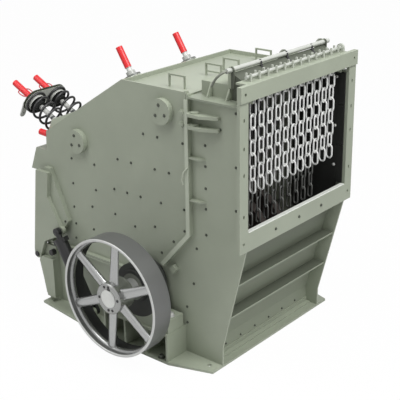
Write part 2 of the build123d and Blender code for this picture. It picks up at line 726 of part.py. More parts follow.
# Rear hinge: fixed bracket with its pin and outer leg, and the bell-crank arm of the housing
arm_top_z = 1365
arm_front_top_y = 935
arm_waist_y = 966
arm_waist_z = 1121
arm_heel_y = 1045
arm_heel_z = 649
arm_rear_top_y = 1101
arm_rear_low_y = 1205
arm_root_z = 540
web_top_y = 1085
web_top_z = 600
leg_front_y = 945
leg_low_y = 1054
leg_low_z = 70
leg_rear_y = 1138
leg_rear_z = 436
leg_top_y = 1100
leg_top_z = 478
leg_thickness = 50
cylinder_foot_y = 400
cylinder_foot_z = 110
cylinder_head_y = 815
cylinder_head_z = 815
head_eye_radius = 40
arm_inner = wall_outer + hinge_plate + hinge_side_gap
arm_outer = arm_inner + hinge_plate
pin_outer = arm_outer + hinge_side_gap
foot_point = (cylinder_foot_y, cylinder_foot_z)
head_point = (cylinder_head_y, cylinder_head_z)
for side, name in sides:
    with BuildPart() as hinge_bracket:
        with BuildSketch(Plane.YZ.offset(side * wall_outer)):
            outline([
                (leg_front_y, base_thickness), (base_half, base_thickness), (rear_foot_y, rear_foot_z),
                (hinge_y + hinge_eye_radius, hinge_z), (web_top_y, web_top_z), (leg_front_y, web_top_z)])
            with Locations(hinge_point):
                Circle(hinge_eye_radius)
        extrude(amount=side * hinge_plate)
        with BuildSketch(Plane.YZ.offset(side * (wall_outer + hinge_plate))):
            outline([
                (leg_front_y, leg_low_z), (leg_low_y, leg_low_z), (leg_rear_y, leg_rear_z),
                (leg_top_y, leg_top_z), (leg_front_y, leg_top_z)])
        extrude(amount=side * leg_thickness)
        with BuildSketch(Plane.YZ.offset(side * wall_outer)):
            with Locations(hinge_point):
                Circle(hinge_pin_radius)
        extrude(amount=side * (pin_outer - wall_outer))
    keep(hinge_bracket, f"{name}_hinge_bracket")

    with BuildPart() as hinge_arm:
        with BuildSketch(Plane.YZ.offset(side * arm_inner)):
            outline([
                (hinge_y - hinge_eye_radius, hinge_z), (arm_heel_y, arm_heel_z),
                (cylinder_head_y - head_eye_radius / 2, cylinder_head_z - head_eye_radius),
                (cylinder_head_y, cylinder_head_z + head_eye_radius), (arm_waist_y, arm_waist_z),
                (arm_front_top_y, arm_top_z), (arm_rear_top_y, arm_top_z), (arm_rear_low_y, arm_root_z),
                (hinge_y + hinge_eye_radius, hinge_z)])
            with Locations(head_point):
                Circle(head_eye_radius)
            with Locations(hinge_point):
                Circle(hinge_eye_radius)
                Circle(hinge_pin_radius + pin_clearance, mode=Mode.SUBTRACT)
        extrude(amount=side * hinge_plate)
    keep(hinge_arm, f"{name}_hinge_arm")

# Lift brackets: thick plates that carry the arms on the tilting walls
lift_top_y = 945
lift_top_z = 1399
lift_front_y = 732
lift_front_z = 920
lift_low_y = 1010
lift_low_z = 715
lift_rear_y = 1118
lift_rear_top_y = 1020
for side, name in sides:
    with BuildPart() as lift_bracket:
        with BuildSketch(Plane.YZ.offset(side * wall_outer)):
            outline([
                (lift_top_y, lift_top_z), (lift_front_y, lift_front_z), head_point, (lift_low_y, lift_low_z),
                (lift_rear_y, lift_low_z), (lift_rear_top_y, lift_top_z)])
        extrude(amount=side * (arm_inner - wall_outer))
    keep(lift_bracket, f"{name}_lift_bracket")

# Lifting cylinders: lug on the base, barrel with its ears, and rod
cylinder_standoff = 120
barrel_radius = 60
barrel_share = 0.92
barrel_gap = 20
gland_width = 56
gland_length = 176
gland_height = 44
rod_radius = 28
foot_pin_radius = 22
foot_lug_radius = 45
foot_lug_thickness = 40
head_eye_thickness = 38
cylinder_x = wall_outer + cylinder_standoff
cylinder_length = hypot(cylinder_head_y - cylinder_foot_y, cylinder_head_z - cylinder_foot_z)
cylinder_axis = Vector(0, cylinder_head_y - cylinder_foot_y, cylinder_head_z - cylinder_foot_z)
barrel_end = cylinder_length * barrel_share
ear_start = foot_lug_thickness / 2 + hinge_side_gap
ear_width = barrel_radius - ear_start
for side, name in sides:
    foot_plane = Plane((side * cylinder_x, *foot_point), x_dir=(1, 0, 0), z_dir=cylinder_axis)
    with BuildPart() as cylinder_foot:
        with BuildSketch(Plane.YZ.offset(side * (cylinder_x - foot_lug_thickness / 2))):
            with Locations(foot_point):
                Circle(foot_lug_radius)
            with Locations((cylinder_foot_y, (base_thickness + cylinder_foot_z) / 2)):
                Rectangle(2 * foot_lug_radius, cylinder_foot_z - base_thickness)
            with Locations(foot_point):
                Circle(foot_pin_radius + pin_clearance, mode=Mode.SUBTRACT)
        extrude(amount=side * foot_lug_thickness)
    keep(cylinder_foot, f"{name}_cylinder_foot")

    with BuildPart() as barrel:
        with BuildSketch(foot_plane.offset(foot_lug_radius + hinge_side_gap)):
            Circle(barrel_radius)
        extrude(amount=barrel_end - foot_lug_radius - hinge_side_gap)
        with BuildSketch(foot_plane.offset(barrel_end - gland_height)):
            Rectangle(gland_width, gland_length)
        extrude(amount=gland_height)
        with BuildSketch(foot_plane.offset(foot_lug_radius + barrel_gap)):
            Circle(rod_radius + seat_gap)
        extrude(amount=barrel_end, mode=Mode.SUBTRACT)
        for start in (-barrel_radius, ear_start):
            with BuildSketch(Plane.YZ.offset(side * cylinder_x + start)):
                with Locations(foot_point):
                    Circle(foot_lug_radius)
            extrude(amount=ear_width)
        with BuildSketch(Plane.YZ.offset(side * cylinder_x)):
            with Locations(foot_point):
                Circle(foot_pin_radius)
        extrude(amount=barrel_radius, both=True)
        with BuildSketch(foot_plane):
            with GridLocations(2 * ear_start + ear_width, foot_lug_radius, 2, 1):
                Rectangle(ear_width, 2 * foot_lug_radius)
        extrude(amount=foot_lug_radius + barrel_gap)
    keep(barrel, f"{name}_cylinder_barrel")

    with BuildPart() as rod:
        with BuildSketch(foot_plane.offset(foot_lug_radius + 2 * barrel_gap)):
            Circle(rod_radius)
        extrude(amount=cylinder_length - foot_lug_radius - 2 * barrel_gap)
        with BuildSketch(Plane.YZ.offset(side * (cylinder_x - head_eye_thickness / 2))):
            with Locations(head_point):
                Circle(head_eye_radius)
        extrude(amount=side * head_eye_thickness)
        with BuildSketch(foot_plane.offset(barrel_end)):
            Circle(rod_radius)
        extrude(amount=cylinder_length - barrel_end)
    keep(rod, f"{name}_cylinder_rod")

# Apron shafts with bolted caps, and the two aprons that hang from them
apron_cap_radius = 110
apron_cap_thickness = 50
apron_boss_radius = 95
apron_thickness = 110
apron_side_gap = 15
apron_gap = 85
front_apron_angle = 85
rear_apron_angle = 14
apron_width = inner_width - 2 * apron_side_gap
apron_reach = blow_bar_tip_radius + apron_gap
for label, point, angle in (
        ("front_apron", front_apron_point, front_apron_angle),
        ("rear_apron", rear_apron_point, rear_apron_angle)):
    with BuildPart() as apron_shaft:
        with BuildSketch(Plane.YZ.offset(-wall_outer)):
            with Locations(point):
                Circle(apron_shaft_radius)
        extrude(amount=2 * wall_outer)
        for side, _ in sides:
            with BuildSketch(Plane.YZ.offset(side * wall_outer)):
                with Locations(point):
                    Circle(apron_cap_radius)
            extrude(amount=side * apron_cap_thickness)
    keep(apron_shaft, f"{label}_shaft")

    with BuildPart() as apron:
        with BuildSketch(Plane.YZ.offset(-apron_width / 2)):
            outline(band([point, polar(shaft_point, apron_reach, angle)], apron_thickness))
            with Locations(point):
                Circle(apron_boss_radius)
                Circle(apron_shaft_radius + pin_clearance, mode=Mode.SUBTRACT)
        extrude(amount=apron_width)
    keep(apron, label)

# Front adjusting rods on the rear slope, with red caps
front_rod_x = 378
front_rod_y = 188
rod_block_width = 150
rod_block_length = 120
rod_block_height = 40
rod_plate_radius = 78
rod_plate_thickness = 18
rod_collar_radius = 42
rod_collar_height = 40
rod_stem_radius = 24
rod_stem_height = 38
cap_radius = 31
cap_length = 200
slope_fall_share = (rear_top_z - slope_end_z) / (slope_end_y - ridge_y)
front_rod_z = rear_top_z - (front_rod_y - ridge_y) * slope_fall_share
slope_normal = Vector(0, rear_top_z - slope_end_z, slope_end_y - ridge_y)
with BuildPart() as front_apron_rods:
    for side, _ in sides:
        rod_plane = Plane((side * front_rod_x, front_rod_y, front_rod_z), x_dir=(1, 0, 0), z_dir=slope_normal)
        with BuildSketch(rod_plane):
            Rectangle(rod_block_width, rod_block_length)
        extrude(amount=rod_block_height)
        level = rod_block_height
        for radius, height in (
                (rod_plate_radius, rod_plate_thickness), (rod_collar_radius, rod_collar_height),
                (rod_stem_radius, rod_stem_height), (cap_radius, cap_length)):
            with BuildSketch(rod_plane.offset(level)):
                Circle(radius)
            extrude(amount=height)
            level = level + height
keep(front_apron_rods, "front_apron_rods")

# Rear adjusting rods: seat on the slope, two coil springs, cross yoke and capped rods
spring_inset = 275
spring_spacing = 260
spring_angle = 27
spring_radius = 104
spring_wire = 12
spring_length = 344
spring_turns = 4.5
seat_width = 470
seat_top_y = 600
seat_edge_y = 1013
seat_edge_z = 1781
seat_face_height = 150
cup_radius = 88
cup_height = 40
yoke_hub_radius = 56
yoke_hub_height = 50
yoke_thickness = 26
yoke_radius = 118
rear_stem_length = 20
rear_cap_length = 265
spring_x = spring_inset - wall_inner
spring_direction = Vector(0, cos(radians(spring_angle)), sin(radians(spring_angle)))
seat_top_z = rear_top_z - (seat_top_y - ridge_y) * slope_fall_share
seat_face_top = polar((seat_edge_y, seat_edge_z), seat_face_height / 2, spring_angle + 90)
seat_face_low = polar((seat_edge_y, seat_edge_z), seat_face_height / 2, spring_angle - 90)
with BuildPart() as spring_seat:
    with BuildSketch(Plane.YZ.offset(spring_x - seat_width / 2)):
        outline([(seat_top_y, seat_top_z), seat_face_top, seat_face_low, slope_end])
    extrude(amount=seat_width)
keep(spring_seat, "spring_seat")

spring_base = Plane((spring_x, seat_edge_y, seat_edge_z), x_dir=(1, 0, 0), z_dir=spring_direction)
cup_level = spring_length - cup_height
hub_level = cup_level - yoke_hub_height
coil_height = spring_length - 2 * spring_wire - 2 * seat_gap
with BuildPart() as rear_springs:
    for side, _ in sides:
        coil_origin = spring_base.from_local_coords((side * spring_spacing / 2, 0, spring_wire + seat_gap))
        with BuildLine() as coil:
            Helix(coil_height / spring_turns, coil_height, spring_radius, coil_origin, spring_direction)
        with BuildSketch(Plane(coil.line @ 0, x_dir=spring_direction, z_dir=coil.line % 0)):
            RegularPolygon(spring_wire, 6)
        sweep(path=coil.line, is_frenet=True)
keep(rear_springs, "rear_springs")

with BuildPart() as rear_yoke:
    with BuildSketch(spring_base.offset(spring_length)):
        SlotCenterToCenter(spring_spacing, 2 * yoke_radius)
    extrude(amount=yoke_thickness)
    for radius, level, height in (
            (cup_radius, cup_level, cup_height), (yoke_hub_radius, hub_level, yoke_hub_height),
            (rod_stem_radius, 0, hub_level)):
        with BuildSketch(spring_base.offset(level)):
            with GridLocations(spring_spacing, spring_spacing, 2, 1):
                Circle(radius)
        extrude(amount=height)
keep(rear_yoke, "rear_yoke")

plug_inset = 24
plug_drop = 36
plug_radius = 30
plug_length = 100
plug_x = wall_outer - plug_inset
plug_share = plug_drop / (slope_end_z - rear_edge_z)
plug_point = along(slope_end, rear_edge_low, plug_share)
plug_plane = Plane(
    (-plug_x, *plug_point), x_dir=(1, 0, 0), z_dir=(0, slope_end_z - rear_edge_z, rear_edge_lean))
with BuildPart() as rear_apron_rods:
    with BuildSketch(spring_base.offset(spring_length + yoke_thickness)):
        with GridLocations(spring_spacing, spring_spacing, 2, 1):
            Circle(rod_stem_radius)
    extrude(amount=rear_stem_length)
    with BuildSketch(spring_base.offset(spring_length + yoke_thickness + rear_stem_length)):
        with GridLocations(spring_spacing, spring_spacing, 2, 1):
            Circle(cap_radius)
    extrude(amount=rear_cap_length)
    with BuildSketch(plug_plane):
        Circle(plug_radius)
    extrude(amount=plug_length)
keep(rear_apron_rods, "rear_apron_rods")

# Roof covers with wire handles
cover_margin = 30
cover_gap = 50
cover_length = 420
cover_thickness = 12
cover_setback = 250
handle_span = 165
handle_height = 105
handle_wire = 14
handle_spacing = 474
cover_width = (inner_width - 2 * cover_margin - cover_gap) / 2
cover_y = split_y + cover_setback
with BuildPart() as roof_covers:
    with BuildSketch(Plane.XY.offset(roof_z)):
        with Locations((0, cover_y)):
            with GridLocations(cover_width + cover_gap, cover_length, 2, 1):
                Rectangle(cover_width, cover_length)
    extrude(amount=cover_thickness)
    with Locations((0, cover_y, roof_z + cover_thickness)):
        with GridLocations(cover_width + cover_gap, cover_length, 2, 1):
            with GridLocations(handle_spacing, handle_span, 2, 2):
                Box(handle_wire, handle_wire, handle_height, align=(Align.CENTER, Align.CENTER, Align.MIN))
            with Locations((0, 0, handle_height)):
                with GridLocations(handle_spacing, handle_span, 2, 1):
                    Box(handle_wire, handle_span + handle_wire, handle_wire)
keep(roof_covers, "roof_covers")
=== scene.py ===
"""Looks of the front-feed impact crusher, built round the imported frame. Metres."""
import json
from math import cos, pi, radians, sin

import bpy
from mathutils import Matrix, Vector


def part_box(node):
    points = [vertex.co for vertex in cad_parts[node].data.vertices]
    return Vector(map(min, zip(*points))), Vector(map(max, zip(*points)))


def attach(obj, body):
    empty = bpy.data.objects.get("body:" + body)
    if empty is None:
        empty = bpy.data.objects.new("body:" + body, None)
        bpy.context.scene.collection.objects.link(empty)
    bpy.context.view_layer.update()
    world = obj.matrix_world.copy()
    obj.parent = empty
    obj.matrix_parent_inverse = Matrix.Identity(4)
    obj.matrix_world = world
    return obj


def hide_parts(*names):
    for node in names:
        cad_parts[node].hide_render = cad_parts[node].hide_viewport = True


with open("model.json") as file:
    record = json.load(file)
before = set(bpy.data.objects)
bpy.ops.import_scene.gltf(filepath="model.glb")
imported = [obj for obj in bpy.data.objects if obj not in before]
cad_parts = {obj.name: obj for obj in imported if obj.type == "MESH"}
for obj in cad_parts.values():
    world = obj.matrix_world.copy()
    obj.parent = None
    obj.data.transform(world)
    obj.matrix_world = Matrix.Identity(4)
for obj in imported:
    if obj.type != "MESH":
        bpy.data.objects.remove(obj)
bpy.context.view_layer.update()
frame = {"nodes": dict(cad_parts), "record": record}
nodes = frame["nodes"]
sides = (-1, 1)

# Places shared with the part
wall_outer = 0.736
wall_inner = 0.720
liner_face = 0.708
leg_outer = 0.826
web_outer = 0.776
lift_outer = 0.781
shaft = Vector((0, -0.280, 0.631))
pulley_face_x = -1.294
feed_face_y = -1.328
split_middle_y = -0.7475
panel_y = -0.943
base_top = 0.022
comb_top_z = 2.529
box_top_z = 2.475
lid_rod = Vector((0.710, -1.105, 2.600))
hinge = Vector((0, 1.162, 0.487))

# Directions, and the step by which shapes and bands overlap
along_x = (1, 0, 0)
along_y = (0, 1, 0)
along_z = (0, 0, 1)
overlap = 0.001


def turns(count):
    """Cosine and sine of equal steps round a circle."""
    return [(cos(2 * pi * k / count), sin(2 * pi * k / count)) for k in range(count)]


def around(centre, x, radius, angle):
    """Point on a circle round a centre, in the plane of Y and Z."""
    return Vector((x, centre.y + radius * cos(angle), centre.z + radius * sin(angle)))


def linear(red, green, blue):
    """Linear colour of an 8-bit screen colour, by the sRGB curve."""
    return tuple(
        (c / 255 / 12.92) if c <= 10 else ((c / 255 + 0.055) / 1.055) ** 2.4
        for c in (red, green, blue))


# Grain as (scale, strength), drift of a shade over its noise, and the colour sockets of Mix
grain_depth = 0.002
even_grain_scale = 90.0
band_grain = (120.0, 0.04)
turned_grain = (60.0, 0.03)
panel_grain = (90.0, 0.05)
noise_detail = 4.0
drift_low, drift_high = 0.3, 0.7
facing_up = 0.5
mix_factor, mix_first, mix_second, mix_result = 0, 6, 7, 2


def new_material(name, roughness, metallic=0.0, specular=0.5):
    """Material with a Principled shader; gives the material, its tree and the shader."""
    material = bpy.data.materials.new(name)
    material.use_nodes = True
    tree = material.node_tree
    shader = tree.nodes["Principled BSDF"]
    shader.inputs["Roughness"].default_value = roughness
    shader.inputs["Metallic"].default_value = metallic
    shader.inputs["Specular IOR Level"].default_value = specular
    return material, tree, shader


def object_point(tree):
    """Socket with the point on the object, in the part's frame."""
    return tree.nodes.new("ShaderNodeTexCoord").outputs["Object"]


def noise(tree, scale):
    """Noise value over the object."""
    node = tree.nodes.new("ShaderNodeTexNoise")
    node.inputs["Scale"].default_value = scale
    node.inputs["Detail"].default_value = noise_detail
    tree.links.new(object_point(tree), node.inputs["Vector"])
    return node.outputs["Fac"]


def ramp(tree, value, stops, constant=False):
    """Colour ramp over a value; stops are (place, colour)."""
    node = tree.nodes.new("ShaderNodeValToRGB")
    node.color_ramp.interpolation = "CONSTANT" if constant else "LINEAR"
    elements = node.color_ramp.elements
    while len(elements) < len(stops):
        elements.new(1.0)
    for element, (place, colour) in zip(elements, stops):
        element.position = place
        element.color = (*colour, 1)
    tree.links.new(value, node.inputs["Fac"])
    return node.outputs["Color"]


def grain(tree, shader, scale, strength):
    """Fine surface grain as bump."""
    bump = tree.nodes.new("ShaderNodeBump")
    bump.inputs["Strength"].default_value = strength
    bump.inputs["Distance"].default_value = grain_depth
    tree.links.new(noise(tree, scale), bump.inputs["Height"])
    tree.links.new(bump.outputs["Normal"], shader.inputs["Normal"])


def math_node(tree, operation, first, second):
    """Math node on sockets or numbers."""
    node = tree.nodes.new("ShaderNodeMath")
    node.operation = operation
    for socket, value in zip(node.inputs, (first, second)):
        if isinstance(value, (int, float)):
            socket.default_value = value
        else:
            tree.links.new(value, socket)
    return node.outputs[0]


def mottled(name, colour, spread, roughness, metallic=0.0, scale=3.0, bump=0.05, specular=0.5):
    """Even finish whose shade drifts a little over the surface."""
    material, tree, shader = new_material(name, roughness, metallic, specular)
    low = tuple(c * (1 - spread) for c in colour)
    high = tuple(c * (1 + spread) for c in colour)
    colours = ramp(tree, noise(tree, scale), ((drift_low, low), (drift_high, high)))
    tree.links.new(colours, shader.inputs["Base Color"])
    grain(tree, shader, even_grain_scale, bump)
    return material


def banded(name, origin, direction, stops, length, roughness, metallic=0.0, specular=0.5):
    """Bands of colour along a direction from an origin; stops are (distance, colour)."""
    material, tree, shader = new_material(name, roughness, metallic, specular)
    step = tree.nodes.new("ShaderNodeVectorMath")
    step.operation = "SUBTRACT"
    tree.links.new(object_point(tree), step.inputs[0])
    step.inputs[1].default_value = origin
    dot = tree.nodes.new("ShaderNodeVectorMath")
    dot.operation = "DOT_PRODUCT"
    tree.links.new(step.outputs["Vector"], dot.inputs[0])
    dot.inputs[1].default_value = direction
    share = math_node(tree, "DIVIDE", dot.outputs["Value"], length)
    places = [(place / length, colour) for place, colour in stops]
    colours = ramp(tree, share, places, constant=True)
    tree.links.new(colours, shader.inputs["Base Color"])
    grain(tree, shader, *band_grain)
    return material


def rings_round_shaft(name, stops, limit, roughness, metallic):
    """Rings of colour by distance from the rotor shaft; stops are (radius, colour)."""
    material, tree, shader = new_material(name, roughness, metallic)
    split = tree.nodes.new("ShaderNodeSeparateXYZ")
    tree.links.new(object_point(tree), split.inputs[0])
    along = math_node(tree, "SUBTRACT", split.outputs["Y"], shaft.y)
    up = math_node(tree, "SUBTRACT", split.outputs["Z"], shaft.z)
    along_square = math_node(tree, "MULTIPLY", along, along)
    up_square = math_node(tree, "MULTIPLY", up, up)
    radius = math_node(tree, "SQRT", math_node(tree, "ADD", along_square, up_square), 0.0)
    share = math_node(tree, "DIVIDE", radius, limit)
    places = [(place / limit, colour) for place, colour in stops]
    colours = ramp(tree, share, places, constant=True)
    tree.links.new(colours, shader.inputs["Base Color"])
    grain(tree, shader, *turned_grain)
    return material


def painted_height_shade(name, stops, length, upward_colour, roughness):
    """Painted shade by height, one colour on faces that look up; stops are (height, colour)."""
    material, tree, shader = new_material(name, roughness, specular=0.3)
    split = tree.nodes.new("ShaderNodeSeparateXYZ")
    tree.links.new(object_point(tree), split.inputs[0])
    share = math_node(tree, "DIVIDE", split.outputs["Z"], length)
    colours = ramp(tree, share, [(place / length, colour) for place, colour in stops])
    facing = tree.nodes.new("ShaderNodeSeparateXYZ")
    normal = tree.nodes.new("ShaderNodeNewGeometry").outputs["True Normal"]
    tree.links.new(normal, facing.inputs[0])
    mix = tree.nodes.new("ShaderNodeMix")
    mix.data_type = "RGBA"
    looks_up = math_node(tree, "GREATER_THAN", facing.outputs["Z"], facing_up)
    tree.links.new(looks_up, mix.inputs[mix_factor])
    tree.links.new(colours, mix.inputs[mix_first])
    mix.inputs[mix_second].default_value = (*upward_colour, 1)
    tree.links.new(mix.outputs[mix_result], shader.inputs["Base Color"])
    grain(tree, shader, *panel_grain)
    return material


# Main colours
green = linear(158, 165, 148)
dark_green = linear(120, 124, 113)
lit_green = linear(184, 191, 174)
off_white = linear(226, 229, 222)
steel = linear(208, 209, 206)
cup_grey = linear(196, 197, 193)
dark_grey = linear(84, 86, 86)
iron = linear(40, 40, 39)
black = linear(30, 30, 31)
red = linear(222, 42, 46)
olive = linear(52, 56, 44)

# Paints and steels
paint = mottled("paint", green, spread=0.04, roughness=0.45)
# Lighter copy of the paint, for the spring seat, cover bars and hooks: painted light
paint_painted_light = mottled("paint_painted_light", lit_green, spread=0.04, roughness=0.45)
paint_dark = mottled("paint_dark", dark_green, spread=0.05, roughness=0.5)
# Front panel darker towards the top, painted shade under the feed frame; darker on up faces
panel_painted_shade = painted_height_shade(
    "panel_painted_shade",
    ((0.0, linear(152, 159, 142)), (0.55, linear(148, 155, 138)),
     (0.90, linear(140, 147, 131)), (1.15, linear(118, 124, 111))),
    length=1.3, upward_colour=linear(96, 101, 89), roughness=0.5)
# Darker copy of the paint for the top plate's ledge: painted shade
ledge_painted_shade = mottled("ledge_painted_shade", linear(138, 145, 129), spread=0.05, roughness=0.5)
machined = mottled("machined", steel, spread=0.06, roughness=0.3, metallic=0.7, scale=12.0)
bolt_steel = mottled(
    "bolt_steel", linear(76, 80, 72), spread=0.10, roughness=0.5, metallic=0.1, scale=30.0)
rod_steel = mottled(
    "rod_steel", linear(204, 207, 200), spread=0.04, roughness=0.3, metallic=0.5, scale=12.0)
bright_steel = mottled(
    "bright_steel", linear(215, 216, 213), spread=0.06, roughness=0.3, metallic=0.5, scale=30.0)
chain_steel = mottled(
    "chain_steel", linear(236, 237, 235), spread=0.05, roughness=0.35, metallic=0.15, scale=15.0)
# Rear chain curtain: grey below 1.6 m, nearly black above; painted shadow behind the front curtain
chain_painted_shadow = banded(
    "chain_painted_shadow", (0, 0, 0), along_z, ((0.0, linear(122, 123, 120)), (1.60, iron)),
    length=3.0, roughness=0.45, metallic=0.3)
wear_steel = mottled(
    "wear_steel", iron, spread=0.12, roughness=0.6, metallic=0.3, scale=6.0, bump=0.15,
    specular=0.3)
liner_steel = mottled(
    "liner_steel", linear(44, 45, 43), spread=0.10, roughness=0.6, metallic=0.2, scale=6.0,
    bump=0.12, specular=0.3)
lip_steel = mottled("lip_steel", off_white, spread=0.03, roughness=0.5, scale=12.0)
drum_steel = mottled(
    "drum_steel", linear(92, 84, 80), spread=0.12, roughness=0.6, metallic=0.2, scale=6.0,
    bump=0.15)
black_paint = mottled("black_paint", black, spread=0.15, roughness=0.35, scale=5.0)
red_cap = mottled("red_cap", red, spread=0.05, roughness=0.3, scale=9.0)
wire_red = mottled("wire_red", linear(196, 66, 72), spread=0.06, roughness=0.4, scale=20.0)

# Pulley and bearings: coloured by distance from the shaft, the rim by distance from its face
pulley_steel = rings_round_shaft(
    "pulley_steel",
    ((0.0, linear(158, 159, 157)), (0.140, linear(176, 177, 176)), (0.486, linear(146, 147, 146))),
    limit=0.54, roughness=0.24, metallic=0.8)
rim_steel = banded(
    "rim_steel", (pulley_face_x, 0, 0), along_x,
    ((0.0, linear(200, 201, 199)), (0.006, linear(112, 113, 112))),
    length=0.25, roughness=0.38, metallic=0.5)
# Dark sheet inside the rim: painted shade
rim_painted_shade = mottled(
    "rim_painted_shade", linear(52, 53, 52), spread=0.06, roughness=0.6, metallic=0.2, scale=8.0,
    specular=0.2)
# Bearings: grey cap, then a dark ring of painted shade round it, then green paint
bearing_paint_and_shade = rings_round_shaft(
    "bearing_paint_and_shade", ((0.0, linear(120, 124, 114)), (0.120, linear(50, 52, 49)), (0.285, green)),
    limit=0.60, roughness=0.55, metallic=0.0)

# Front adjusting rods, up from the slope: pale block, dark plate, bright collar and stem, red cap
slope_top_z = 2.380
slope_run = 1.009
slope_drop = 0.639
front_rod_y = 0.188
front_rod_z = slope_top_z - front_rod_y * (slope_drop / slope_run)
slope_normal = Vector((0, slope_drop, slope_run)).normalized()
front_rod_paint = banded(
    "front_rod_paint", Vector((0, front_rod_y, front_rod_z)), slope_normal,
    ((0.0, off_white), (0.040, linear(104, 107, 102)), (0.0575, linear(176, 178, 173)),
     (0.098, steel), (0.136, red)),
    length=0.35, roughness=0.35)

# Rear adjusting rods: springs round dark hubs and pale cups, olive yoke, red caps
spring_angle = radians(27)
spring_foot = Vector((-0.445, 1.013, 1.781))
spring_direction = Vector((0, cos(spring_angle), sin(spring_angle)))
spring_length = 0.344
yoke_thickness = 0.026
yoke_top = spring_length + yoke_thickness
nut_start = yoke_top - 0.01
rear_cap_start = yoke_top + 0.020
rear_rod_paint = banded(
    "rear_rod_paint", spring_foot, spring_direction,
    ((0.0, red), (nut_start, linear(120, 100, 98)), (rear_cap_start, red)),
    length=0.70, roughness=0.35)
yoke_paint = banded(
    "yoke_paint", spring_foot, spring_direction,
    ((0.0, cup_grey), (0.060, dark_grey), (0.085, cup_grey), (0.253, linear(40, 41, 40)),
     (0.304, linear(200, 202, 196)), (spring_length - overlap, olive)),
    length=0.45, roughness=0.7, specular=0.1)

# Feed mouth: sill with a pale front edge, pale keepers on the comb, box darker before the lid rod
hanger_low_z = 2.4
comb_height = comb_top_z - hanger_low_z + overlap
lid_edge = lid_rod.y - feed_face_y - 0.004
sill_paint = banded(
    "sill_paint", (0, feed_face_y, 0), along_y,
    ((0.0, linear(214, 217, 210)), (0.075, linear(56, 57, 55))),
    length=0.6, roughness=0.45)
hanger_paint = banded(
    "hanger_paint", (0, 0, hanger_low_z), along_z,
    ((0.0, green), (comb_height, linear(186, 190, 180))),
    length=0.3, roughness=0.4)
box_paint = banded(
    "box_paint", (0, feed_face_y, 0), along_y,
    ((0.0, green), (0.128, linear(92, 96, 86)), (lid_edge, green)),
    length=0.7, roughness=0.6, specular=0.2)

# Each node's finish: its own, or the one of its slot
slot_materials = {
    "paint": paint, "machined": machined, "pulley_steel": pulley_steel, "chain": chain_steel,
    "dark": black_paint, "red_cap": red_cap, "cast": paint}
own_materials = {
    "front_apron_rods": front_rod_paint, "rear_apron_rods": rear_rod_paint,
    "rear_yoke": yoke_paint, "spring_seat": paint_painted_light, "rotor_drum": drum_steel,
    "front_apron": wear_steel, "rear_apron": wear_steel,
    "left_feed_liner": liner_steel, "right_feed_liner": liner_steel, "feed_sill": sill_paint,
    "chain_rod": rod_steel, "chain_hanger": hanger_paint, "chain_box": box_paint,
    "front_wall": panel_painted_shade, "front_top_plate": ledge_painted_shade,
    "left_bearing": bearing_paint_and_shade, "right_bearing": bearing_paint_and_shade,
    "left_cylinder_rod": black_paint, "right_cylinder_rod": black_paint}
for part in frame["record"]["subparts"]:
    material = own_materials.get(part["node"], slot_materials[part["material_slot"]])
    mesh = nodes[part["node"]].data
    mesh.materials.clear()
    mesh.materials.append(material)

# Mesh helper
sharp_angle = radians(38)


class Shape:
    """Collects vertices and faces of one piece."""

    def __init__(self):
        self.vertices = []
        self.faces = []

    def rings(self, rings, closed_path=False):
        """Skin over rings of points with equal counts, capped at open ends."""
        start = len(self.vertices)
        count = len(rings[0])
        for ring in rings:
            self.vertices.extend(ring)
        last = len(rings) if closed_path else len(rings) - 1
        for row in range(last):
            here = start + row * count
            there = start + (row + 1) % len(rings) * count
            for column in range(count):
                after = (column + 1) % count
                self.faces.append((here + column, here + after, there + after, there + column))
        if not closed_path:
            end = start + (len(rings) - 1) * count
            self.faces.append(tuple(start + column for column in reversed(range(count))))
            self.faces.append(tuple(end + column for column in range(count)))

    def turned(self, origin, axis, profile, count):
        """Stack of rings round an axis; the profile gives (distance along, radius)."""
        axis = Vector(axis).normalized()
        across = axis.orthogonal().normalized()
        other = axis.cross(across)
        spokes = [across * cosine + other * sine for cosine, sine in turns(count)]
        self.rings([
            [Vector(origin) + axis * step + spoke * radius for spoke in spokes]
            for step, radius in profile])

    def wheel(self, profile, count):
        """Closed profile of (x, radius) swept round the rotor shaft."""
        self.rings(
            [[around(shaft, x, radius, 2 * pi * k / count) for x, radius in profile]
             for k in range(count)], closed_path=True)

    def tube(self, path, radius, count=10, closed=False):
        """Round bar along a path of points."""
        path = [Vector(point) for point in path]
        rings = []
        across = None
        for number, point in enumerate(path):
            is_last = number == len(path) - 1
            before = path[number - 1] if number or closed else point
            after = point if is_last and not closed else path[(number + 1) % len(path)]
            run = (after - before).normalized()
            if across is None:
                across = run.orthogonal().normalized()
            across = (across - run * across.dot(run)).normalized()
            other = run.cross(across)
            rings.append([
                point + (across * cosine + other * sine) * radius
                for cosine, sine in turns(count)])
        self.rings(rings, closed_path=closed)

    def plate(self, outline, step):
        """Flat plate: an outline of points, thickened by a step."""
        outline = [Vector(point) for point in outline]
        self.rings([outline, [point + Vector(step) for point in outline]])

    def block(self, low, high):
        """Box between two corners."""
        (x0, y0, z0), (x1, y1, z1) = low, high
        self.plate([(x0, y0, z0), (x1, y0, z0), (x1, y1, z0), (x0, y1, z0)], (0, 0, z1 - z0))

    def piece(self, name, material, body, slot, replaced=None):
        """Make the piece with its material, ride it on its body and hide the part it replaces."""
        mesh = bpy.data.meshes.new(name)
        mesh.from_pydata([tuple(point) for point in self.vertices], [], self.faces)
        mesh.validate()
        mesh.shade_smooth()
        mesh.set_sharp_from_angle(angle=sharp_angle)
        mesh.materials.append(material)
        piece = bpy.data.objects.new(name, mesh)
        bpy.context.scene.collection.objects.link(piece)
        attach(piece, body)
        if replaced:
            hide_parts(replaced)


